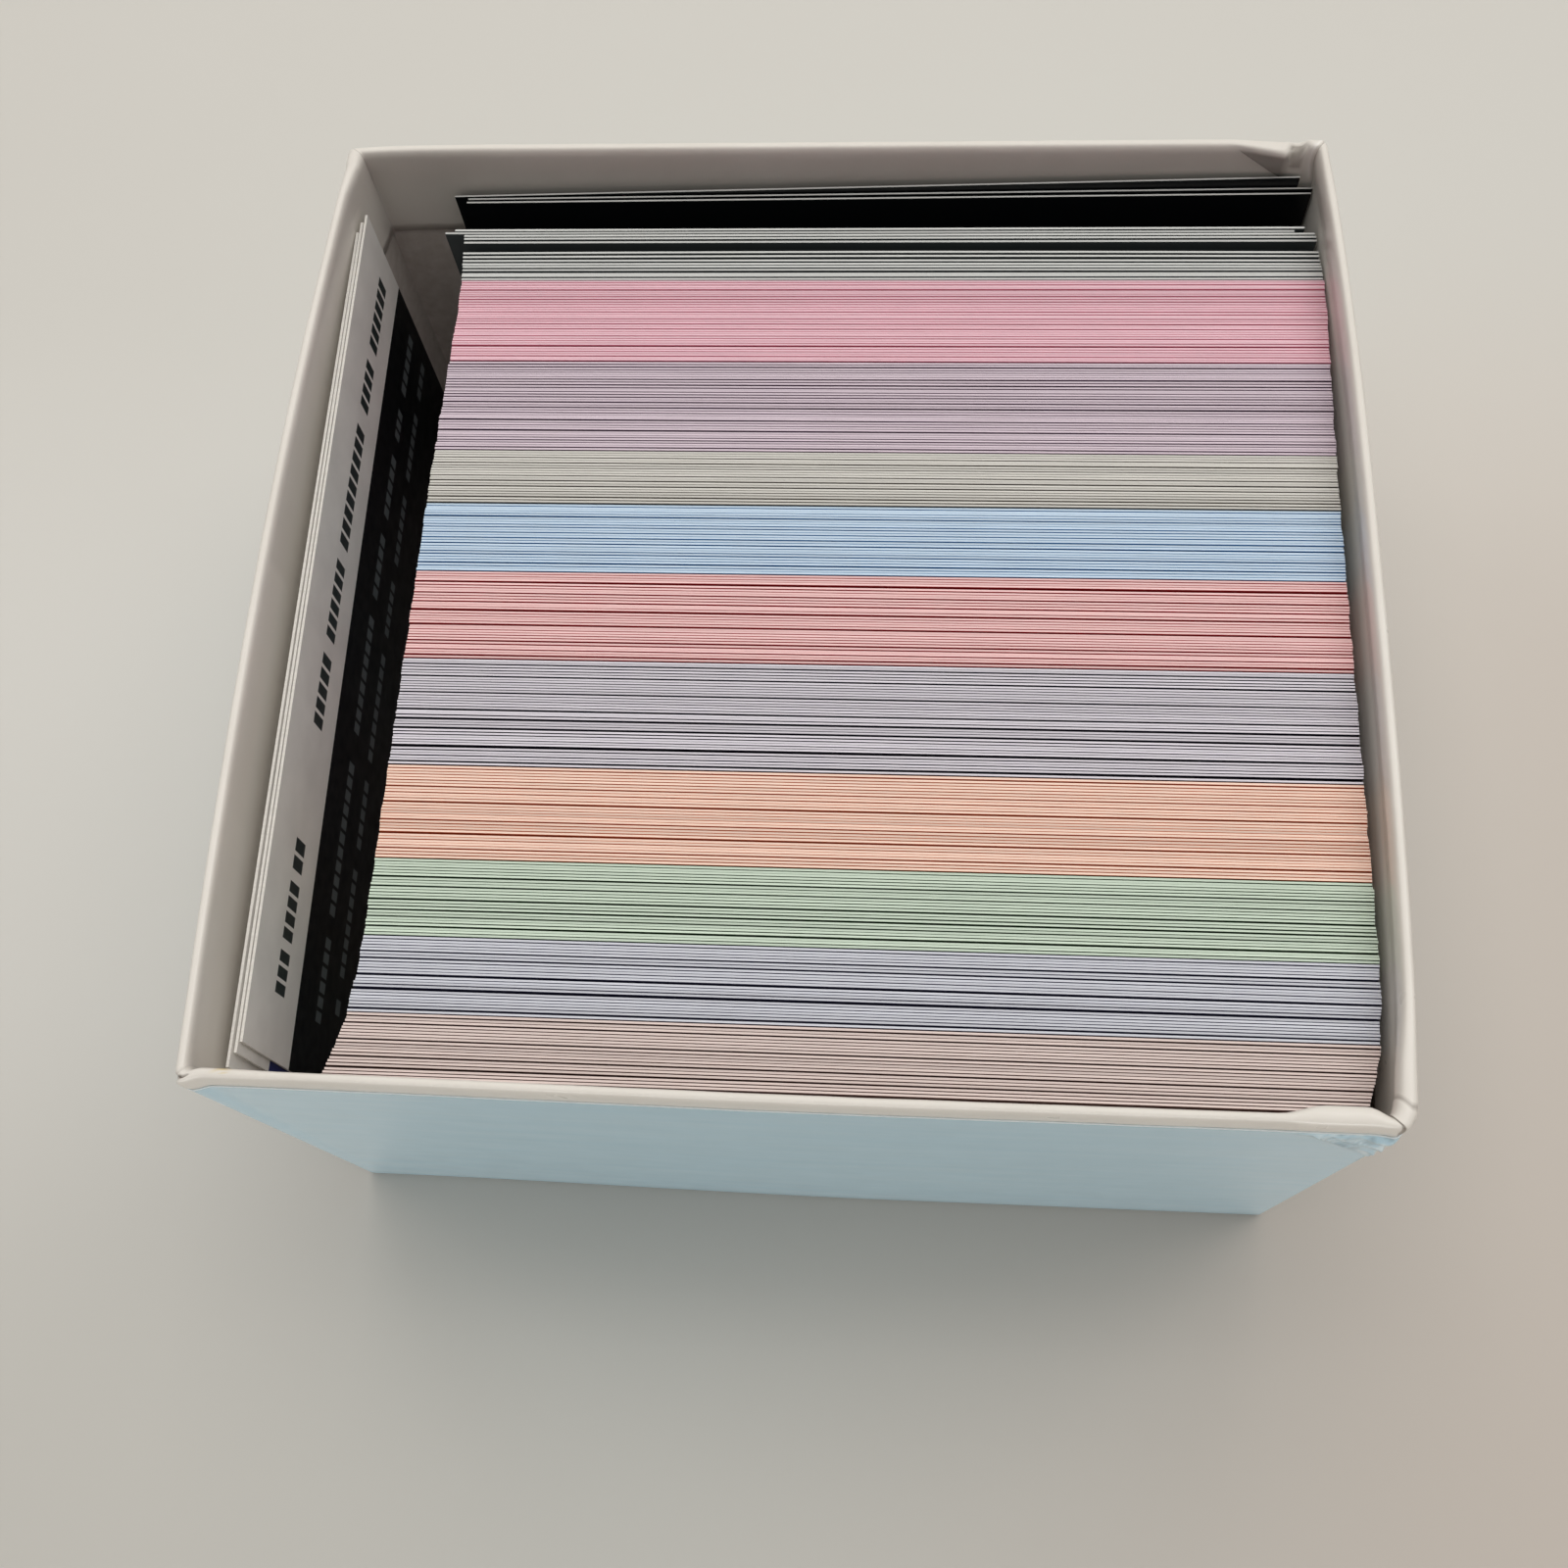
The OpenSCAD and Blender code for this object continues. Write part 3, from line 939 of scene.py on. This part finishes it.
def corner_stays(tape):
    """Four paper corner tapes under the covers."""
    outer, inner = outline(BOARD_OUT + TAPE_AIR), outline(BOARD_OUT + PAPER - TAPE_AIR)
    low, top = floor_lo[2], BOARD_TOP - TAPE_DROP
    verts, faces = [], []
    for k in range(4):
        picked = np.where((column_corner == k) & (np.abs(column_along) < STAY))[0]
        order = picked[np.argsort(column_along[picked])]
        rings = [[(*outer[c], low), (*inner[c], low), (*inner[c], top), (*outer[c], top)] for c in order]
        strip, strip_faces, _ = tube(np.array(rings))
        base = sum(map(len, verts))
        faces += [tuple(i + base for i in face) for face in strip_faces]
        verts.append(strip)
    shaped = tray_shape(np.concatenate(verts))
    obj = make_piece("corner_stay_tapes", shaped, faces, [tape])
    return stand_for(obj, "corner_stays")


def base_sheets(blue, board):
    """The paper under the base, and the base board."""
    base_lo, base_hi = box_mm("base_paper")
    verts, faces = plate(HALF_W - base_hi[0], base_lo[2], base_hi[2])
    no_wear_or_painted_light = {"scuff_and_glint": np.zeros(len(verts)), "mark_and_crease_shade": np.zeros(len(verts))}
    sheet = make_piece("base_paper_sheet", tray_shape(verts), faces, [blue], None, no_wear_or_painted_light)
    stand_for(sheet, "base_paper")
    verts, faces = plate(BOARD_IN + BASE_AIR, floor_lo[2], floor_hi[2])
    panel = make_piece("base_board_panel", tray_shape(verts), faces, [board])
    stand_for(panel, "base_board")


def build_tray():
    """All pieces of the box itself."""
    paper, blue, core = white_paper(), blue_paper(), paper_core()
    board, tape = lined_board(), kraft_tape()
    white_cover(paper)
    blue_wrap(blue, core)
    for side, axis in (("front", 0), ("back", 0), ("left", 1), ("right", 1)):
        wall_board(side + "_wall_board", board, axis)
    corner_stays(tape)
    base_sheets(blue, board)


# Deck of cards

CARD_T = 0.25
CARD_W = 88.9
CARD_BEVEL = 0.03
CARD_STATIONS = 13
CARD_AIR = 0.1
TRIANGLES_PER_CARD = 12
# Strips of a card's tube that are cut edges: ends, bottom and top
EDGE_STRIPS = (-1, 0, 3)
FIELD_PAINT = (26, 28, 32)

# Edge paint, face ink, weight of the wide gaps and card thickness of each group, from the front
GROUPS = {
    "rose": ((229, 212, 206), (92, 58, 50), 0.95, 0.257),
    "periwinkle": ((218, 220, 228), (60, 60, 92), 1.2, 0.254),
    "green": ((219, 234, 216), (42, 72, 36), 1.1, 0.26),
    "orange": ((255, 225, 207), (208, 108, 64), 0.95, 0.26),
    "lavender": ((231, 226, 234), (38, 31, 50), 1.5, 0.25),
    "red": ((253, 213, 211), (178, 36, 40), 1.15, 0.254),
    "blue": ((211, 230, 246), (66, 126, 184), 0.8, 0.265),
    "sage": ((224, 221, 214), (108, 102, 92), 0.9, 0.266),
    "mauve": ((225, 209, 219), (116, 92, 112), 0.85, 0.255),
    "pink": ((240, 200, 210), (212, 112, 136), 0.6, 0.271),
    "grey": ((219, 220, 217), (78, 84, 85), 1.0, 0.285),
}
FIRST_SEED = 100
# Share of the free room in front of each loose grey card, from the front
GREY_GAPS = (0.1, 0.05, 0.1, 0.5, 0.3, 0.1, 0.5, 0.5, 0.4, 2.2, 0.4, 0.4, 0.1, 0.1, 0.5)

# Shares of the free room in the other groups
HAIRLINE, HAIRLINE_MORE = 0.15, 0.5
WIDE_GAP, WIDE_GAP_MORE = 1.2, 1.6
FIRST_WIDE = (1, 3)
NEXT_WIDE = (2, 6)
END_GAP = 0.3
END_SPREAD = (0.6, 1.4)
MIDDLE_SPREAD = 0.25

# Places of the cards: drift and jogs to the sides, slips to the left, uneven tops and tones
DECK_RIGHT = 50.45
DECK_SHIFT = 0.35
DECK_SHIFT_Y = (10, 36)
DECK_DRIFT = 0.09
DRIFT_CARDS = 9
CARD_JOG = 0.025
ROSE_SLIP, ROSE_POWER = 1.25, 1.3
PERIWINKLE_SLIP, PERIWINKLE_POWER = 0.5, 1.5
GREY_SLIP = 0.15
JUT_LAST, JUT_BEFORE_LAST = 0.9, 2.0
TOP_LEAN = 0.05
TOP_SPREAD = 0.04
TONE_MEAN, TONE_SPREAD = 0.25, 0.3

card_lo, card_hi = box_mm("pink_cards")
card_bottom, card_top = card_lo[2], card_hi[2]
x_share = np.linspace(0, 1, CARD_STATIONS)


def right_wall_x(y):
    """Nearest place of the right wall to the cards, at their feet and at their tops."""
    feet, tops = [HALF_W - BOARD_IN, y, card_bottom], [HALF_W - LINING, y, card_top]
    return tray_shape([feet, tops])[:, 0].min()


def gap_shares(count, weight, rng):
    """Room in front of each card: mostly hairlines, with a wide gap every few cards."""
    gaps = [HAIRLINE + rng.random() * HAIRLINE_MORE for _ in range(count + 1)]
    k = rng.randint(*FIRST_WIDE)
    while k < count:
        gaps[k] = (WIDE_GAP + WIDE_GAP_MORE * rng.random()) * weight
        k += rng.randint(*NEXT_WIDE)
    gaps[0] = gaps[-1] = END_GAP
    return gaps


def card_rows(lo, hi, count, thick, gaps, rng):
    """Front y of each card at each station. Neighbours never cross, and the row keeps its depth."""
    spread = []
    for g in gaps:
        start, end = rng.uniform(*END_SPREAD), rng.uniform(*END_SPREAD)
        middle = rng.uniform(-MIDDLE_SPREAD, MIDDLE_SPREAD)
        spread.append(g * (start + (end - start) * x_share + middle * np.sin(math.pi * x_share)))
    spread = np.array(spread)
    spread *= (hi - lo - count * thick) / spread.sum(axis=0)
    return lo + np.cumsum(spread, axis=0)[:count] + thick * np.arange(count)[:, None]


def card_rings(front, left, bottom, tops, thick=CARD_T):
    """Rings of one upright card along x, with bevelled top edges."""
    rings = np.zeros((CARD_STATIONS, 6, 3))
    c = CARD_BEVEL
    section = ((0, None), (thick, None), (thick, c), (thick - c, 0), (c, 0), (0, c))
    rings[:, :, 0] = (left + x_share * CARD_W)[:, None]
    for k, (y, drop) in enumerate(section):
        rings[:, k, 1] = front + y
        rings[:, k, 2] = bottom if drop is None else tops - drop
    return rings


def stack(name, cards, tones, materials):
    """One piece from the rings of several cards, with edge material on the cut edges."""
    verts, faces, slots, tone = [], [], [], []
    base = 0
    for rings, shade in zip(cards, tones):
        points, card_faces, strips = tube(rings)
        verts.append(points)
        faces += [tuple(i + base for i in face) for face in card_faces]
        slots += [0 if s in EDGE_STRIPS else 1 for s in strips]
        tone += [shade] * len(points)
        base += len(points)
    return make_piece(name, np.concatenate(verts), faces, materials, slots, {"tone": tone})


def slip_at(group, share):
    """How far a card has slipped to the left. Share runs from its group's front to its back."""
    if group == "rose":
        return PERIWINKLE_SLIP + (ROSE_SLIP - PERIWINKLE_SLIP) * (1 - share) ** ROSE_POWER
    if group == "periwinkle":
        return PERIWINKLE_SLIP * (1 - share) ** PERIWINKLE_POWER
    return GREY_SLIP * share if group == "grey" else 0.0


def jut(group, k, count):
    """Extra way to the left of the two loose grey cards that stick out."""
    if group != "grey":
        return 0.0
    return {count - 1: JUT_LAST, count - 2: JUT_BEFORE_LAST}.get(k, 0.0)


def card_group(group, seed):
    """The cards of one colour, each a closed shell, as one piece."""
    edge, ink, weight, thick = GROUPS[group]
    node = group + "_cards"
    lo, hi = box_mm(node)
    rng = random.Random(seed)
    count = len(frame["nodes"][node].data.polygons) // TRIANGLES_PER_CARD
    gaps = GREY_GAPS if group == "grey" else gap_shares(count, weight, rng)
    rows = card_rows(lo[1], hi[1], count, thick, gaps, rng)
    cards, tones = [], []
    drift = DECK_DRIFT * ripple(np.arange(count), DRIFT_CARDS, seed)
    for k, front in enumerate(rows):
        right = DECK_RIGHT + DECK_SHIFT * smooth_step(*DECK_SHIFT_Y, front[-1])
        right = min(right, right_wall_x(front[-1]) - CARD_AIR - DECK_DRIFT - 2 * CARD_JOG)
        right += drift[k] + rng.uniform(-CARD_JOG, CARD_JOG)
        left = right - CARD_W - slip_at(group, k / (count - 1)) - jut(group, k, count)
        lean = rng.uniform(-TOP_LEAN, TOP_LEAN)
        tops = card_top + rng.gauss(0, TOP_SPREAD) + lean * (x_share - 0.5)
        cards.append(card_rings(front, left, card_bottom, tops, thick))
        tones.append(max(0.0, rng.gauss(TONE_MEAN, TONE_SPREAD)))
    materials = [card_edge(group, edge), card_face(group, ink, FIELD_PAINT)]
    return stand_for(stack(group + "_card_stack", cards, tones, materials), node)


# Rear cards

DARK_EDGE = (206, 206, 203)
DARK_PAINT = (12, 14, 17)
# Way forward from the CAD place, turn and rise of the right end, and slip to the left of each card
PAIR_FRONT = (0.28, 0.3, 0.5, 0.1)
PAIR_BACK = (0.33, 0.25, 0.8, 0.0)
LONE = (0.3, 0.25, 2.0, 1.5)
PAIR_TONES = (0.2, 0.5)
LONE_TONE = 0.4


def askew_card(front, right, pose):
    """Rings of a card whose right end is turned back and raised."""
    forward, turn, rise, slip = pose
    lift = rise * x_share
    left = right - CARD_W - slip
    return card_rings(front - forward + turn * x_share, left, card_bottom + lift, card_top + lift)


def rear_cards():
    """The dark pair and the single card at the back."""
    materials = [card_edge("dark", DARK_EDGE), card_face("dark", DARK_PAINT, DARK_PAINT)]
    pair_lo, pair_hi = box_mm("rear_pair")
    lone_lo, _ = box_mm("rear_card")
    right = right_wall_x(pair_hi[1]) - CARD_AIR
    pair = [askew_card(pair_lo[1], right, PAIR_FRONT), askew_card(pair_hi[1] - CARD_T, right, PAIR_BACK)]
    stand_for(stack("rear_card_pair", pair, PAIR_TONES, materials), "rear_pair")
    lone = askew_card(lone_lo[1], right, LONE)
    stand_for(stack("rear_card_single", [lone], [LONE_TONE], materials), "rear_card")


# Side cards

SIDE_STATIONS = 9
SIDE_RISE = 1.6
SIDE_BOW = 0.12
SIDE_TONE = 0.15
# Place (x, y) of each card's front end, way of its back end to the right, and height of its header
LEFT_CARD = ((-49.0, -47.4), -0.75, HEADER_H)
MIDDLE_CARD = ((-48.5, -46.1), -0.95, 8)
RIGHT_CARD = ((-48.15, -45.1), -0.95, HEADER_H)
# Order of a side card's materials
EDGE_SLOT, HEADER_SLOT, FIELD_SLOT, INK_SLOT, PALE_SLOT = range(5)

# Generic bars on the right side card, as (way from the front end, length), and their heights
HEADER_BARS = ((6, 4.5), (11.2, 6), (18, 3.5), (33, 8), (42.5, 9), (53, 14.5), (69.5, 6), (77, 9))
FIELD_BARS = (((6, 9), (17, 17), (37, 14), (53, 8), (63, 8), (73, 4), (79, 8)),
              ((8, 2), (12, 12), (26, 8), (36, 13), (51, 7), (60, 9), (71, 9), (82, 5)))
HEADER_BAR_Z = (43.8, 46.3)
FIELD_BAR_Z = ((33.2, 34.8), (28.0, 29.4))
BLOCK = 1.55
BLOCK_GAP = 0.4


def bar_cells(bars, low, high, slot):
    """Cells (start, end, low, high, slot) of the small blocks that make up the bars."""
    cells = []
    for start, length in bars:
        count = max(1, round(length / BLOCK))
        step = length / count
        for k in range(count):
            cells.append((start + k * step, start + (k + 1) * step - BLOCK_GAP, low, high, slot))
    return cells


def cell_slot(a, z, cells, header_z):
    """Material of a place on the printed side, a from the front end and z high."""
    for start, end, low, high, slot in cells:
        if start < a < end and low < z < high:
            return slot
    return HEADER_SLOT if z > header_z else FIELD_SLOT


def sheet_points(place, turn, along, height):
    """Points of both sides of a bowed card, in columns from its front end."""
    x, y = place
    points = []
    for side in (0, CARD_T):
        for a in along:
            bow = SIDE_BOW * math.sin(math.pi * a / CARD_W)
            rise = SIDE_RISE * a / CARD_W
            points += [(x + side + turn * a / CARD_W - bow, y + a, z + rise) for z in height]
    return points


def sheet_rim(count, rows):
    """Point numbers round the edge of a grid of columns and rows."""
    rim = [i * rows for i in range(count)] + [(count - 1) * rows + j for j in range(1, rows)]
    rim += [i * rows + rows - 1 for i in range(count - 2, -1, -1)]
    return rim + list(range(rows - 2, 0, -1))


def side_card(node, card, materials, cells):
    """An upright card along the left wall, with printed cells on the side that faces the channel."""
    place, turn, header_h = card
    header_z = card_top - header_h
    along = set(np.linspace(0, CARD_W, SIDE_STATIONS).tolist())
    height = {card_bottom, header_z, card_top}
    for a, b, low, high, _ in cells:
        along |= {a, b}
        height |= {low, high}
    along, height = sorted(along), sorted(height)
    verts = sheet_points(place, turn, along, height)
    rows, size = len(height), len(height) * len(along)
    faces, slots = [], []
    for i in range(len(along) - 1):
        for j in range(rows - 1):
            quad = [i * rows + j, (i + 1) * rows + j, (i + 1) * rows + j + 1, i * rows + j + 1]
            a, z = (along[i] + along[i + 1]) / 2, (height[j] + height[j + 1]) / 2
            faces += [tuple(quad), tuple(size + q for q in quad)]
            slots += [cell_slot(a, z, [], header_z), cell_slot(a, z, cells, header_z)]
    rim = sheet_rim(len(along), rows)
    for a, b in zip(rim, rim[1:] + rim[:1]):
        faces.append((a, b, b + size, a + size))
        slots.append(EDGE_SLOT)
    tone = {"tone": [SIDE_TONE] * len(verts)}
    obj = make_piece(node + "_sheet", verts, faces, materials, slots, tone)
    return stand_for(obj, node)


def side_cards():
    """The three cards that stand crosswise along the left wall."""
    edge = card_edge("side", (228, 224, 217))
    header = flat_print("side_header", (250, 247, 242))
    dark = flat_print("side_dark", (6, 10, 14), 0.5, 0.2)
    navy = flat_print("side_navy", (24, 34, 104))
    ink = flat_print("side_ink", (40, 50, 50))
    pale = flat_print("side_pale", (104, 112, 114), 0.5, 0.2)
    cells = bar_cells(HEADER_BARS, *HEADER_BAR_Z, INK_SLOT)
    for bars, (low, high) in zip(FIELD_BARS, FIELD_BAR_Z):
        cells += bar_cells(bars, low, high, PALE_SLOT)
    side_card("side_card_left", LEFT_CARD, [edge, header, dark], [])
    side_card("side_card_middle", MIDDLE_CARD, [edge, header, navy], [])
    side_card("side_card_right", RIGHT_CARD, [edge, header, dark, ink, pale], cells)


# Stage

CAMERA_PLACE = (9.953, -75.174, 192.976)
CAMERA_TURN = (21.647, 3.53, 2.751)
CAMERA_LENS = 38.161
CAMERA_NEAR = 0.005
SENSOR = 36

# Lights: name, place and size in metres, power in watts, colour, and whether glossy papers mirror it
LIGHTS = (
    ("key_light", (-0.05, 0.42, 1.0), (0.7, 0.7), 3.75, (1.0, 0.985, 0.96), False),
    ("top_light", (0.0, -0.03, 1.05), (0.9, 0.55), 2.8, (1.0, 0.985, 0.965), False),
    ("left_light", (-0.85, 0.35, 0.85), (0.4, 0.4), 0.6, (1.0, 0.97, 0.94), True),
    ("right_light", (0.6, 0.3, 1.1), (0.5, 0.5), 2.05, (1.0, 0.98, 0.955), True),
    ("front_fill", (0.0, -3.1, 0.035), (2.6, 0.06), 34.1, (1.0, 0.99, 0.97), True),
)
LIGHT_AIM = (0, 0, 0.03)

# Sky: its brightest way, range of the way's cosine with the strength at both ends, and colour
SKY_WAY = (0.15, 0.75, 0.66)
SKY_RANGE = (-0.6, 0.8, 0.14, 0.42)
SKY_COLOUR = (1.0, 0.985, 0.96, 1)

FLOOR_HALF = 3000
FLOOR_Z = -0.03


def set_camera():
    """The camera that the photo was matched with."""
    data = bpy.data.cameras.new("photo_camera")
    data.lens = CAMERA_LENS
    data.sensor_width = SENSOR
    data.clip_start = CAMERA_NEAR
    camera = add_object("photo_camera", data)
    camera.location = [c * MM for c in CAMERA_PLACE]
    camera.rotation_euler = [math.radians(a) for a in CAMERA_TURN]
    bpy.context.scene.camera = camera


def area_light(name, place, size, power, colour, mirrored):
    """A panel of light that looks at the box."""
    data = bpy.data.lights.new(name, "AREA")
    data.shape = "RECTANGLE"
    data.size, data.size_y = size
    data.energy = power
    data.color = colour
    lamp = add_object(name, data)
    lamp.location = place
    lamp.visible_glossy = mirrored
    lamp.rotation_euler = (Vector(LIGHT_AIM) - Vector(place)).to_track_quat("-Z", "Y").to_euler()


def set_world():
    """Soft sky, brighter above and behind the box than in front of it."""
    world = bpy.data.worlds.new("studio")
    bpy.context.scene.world = world
    world.use_nodes = True
    tree = world.node_tree
    way = tree.nodes.new("ShaderNodeTexCoord")
    dot = tree.nodes.new("ShaderNodeVectorMath")
    dot.operation = "DOT_PRODUCT"
    dot.inputs[1].default_value = Vector(SKY_WAY).normalized()
    tree.links.new(way.outputs["Generated"], dot.inputs[0])
    span = tree.nodes.new("ShaderNodeMapRange")
    for socket, value in zip(span.inputs[1:], SKY_RANGE):
        socket.default_value = value
    tree.links.new(dot.outputs["Value"], span.inputs[0])
    back = tree.nodes["Background"]
    back.inputs["Color"].default_value = SKY_COLOUR
    tree.links.new(span.outputs[0], back.inputs["Strength"])


def set_stage():
    """The table top, the sky and the lights."""
    corners = ((-1, -1), (1, -1), (1, 1), (-1, 1))
    verts = [(sx * FLOOR_HALF, sy * FLOOR_HALF, FLOOR_Z) for sx, sy in corners]
    floor = make_piece("studio_floor", verts, [(0, 1, 2, 3)], [studio_floor()])
    set_world()
    for light in LIGHTS:
        area_light(*light)
    bpy.context.scene.view_settings.view_transform = "Standard"


build_tray()
for order, group_name in enumerate(GROUPS):
    card_group(group_name, FIRST_SEED + order)
rear_cards()
side_cards()
set_camera()
set_stage()
